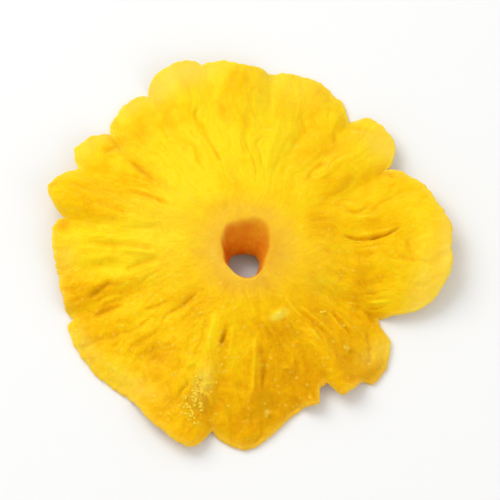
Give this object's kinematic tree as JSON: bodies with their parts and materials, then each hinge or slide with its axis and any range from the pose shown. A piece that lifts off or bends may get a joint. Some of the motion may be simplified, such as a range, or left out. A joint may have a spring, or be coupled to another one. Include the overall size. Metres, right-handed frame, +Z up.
{
  "type": "dried pineapple ring",
  "caption": "A thin ring of dried pineapple with a frilled rim, a mild dome and, at its hub, a small tapering hole that leans.",
  "frame": {"origin": "on the surface the ring lies on, under the middle of its overall width and depth", "axes": "+Z is up through the hole, out of the shown face; -Y is the side that faces the viewer, where the two pointed petals are; +X is the side of the widest petal"},
  "size_m": [0.0824, 0.0834, 0.0083],
  "materials": {
    "dried_flesh": "golden yellow dried fruit, slightly moist and softly shining, with fine fibres that run out from the hub"
  },
  "bodies": {
    "root": {"pineapple_ring": "dried_flesh"}
  },
  "joints": []
}
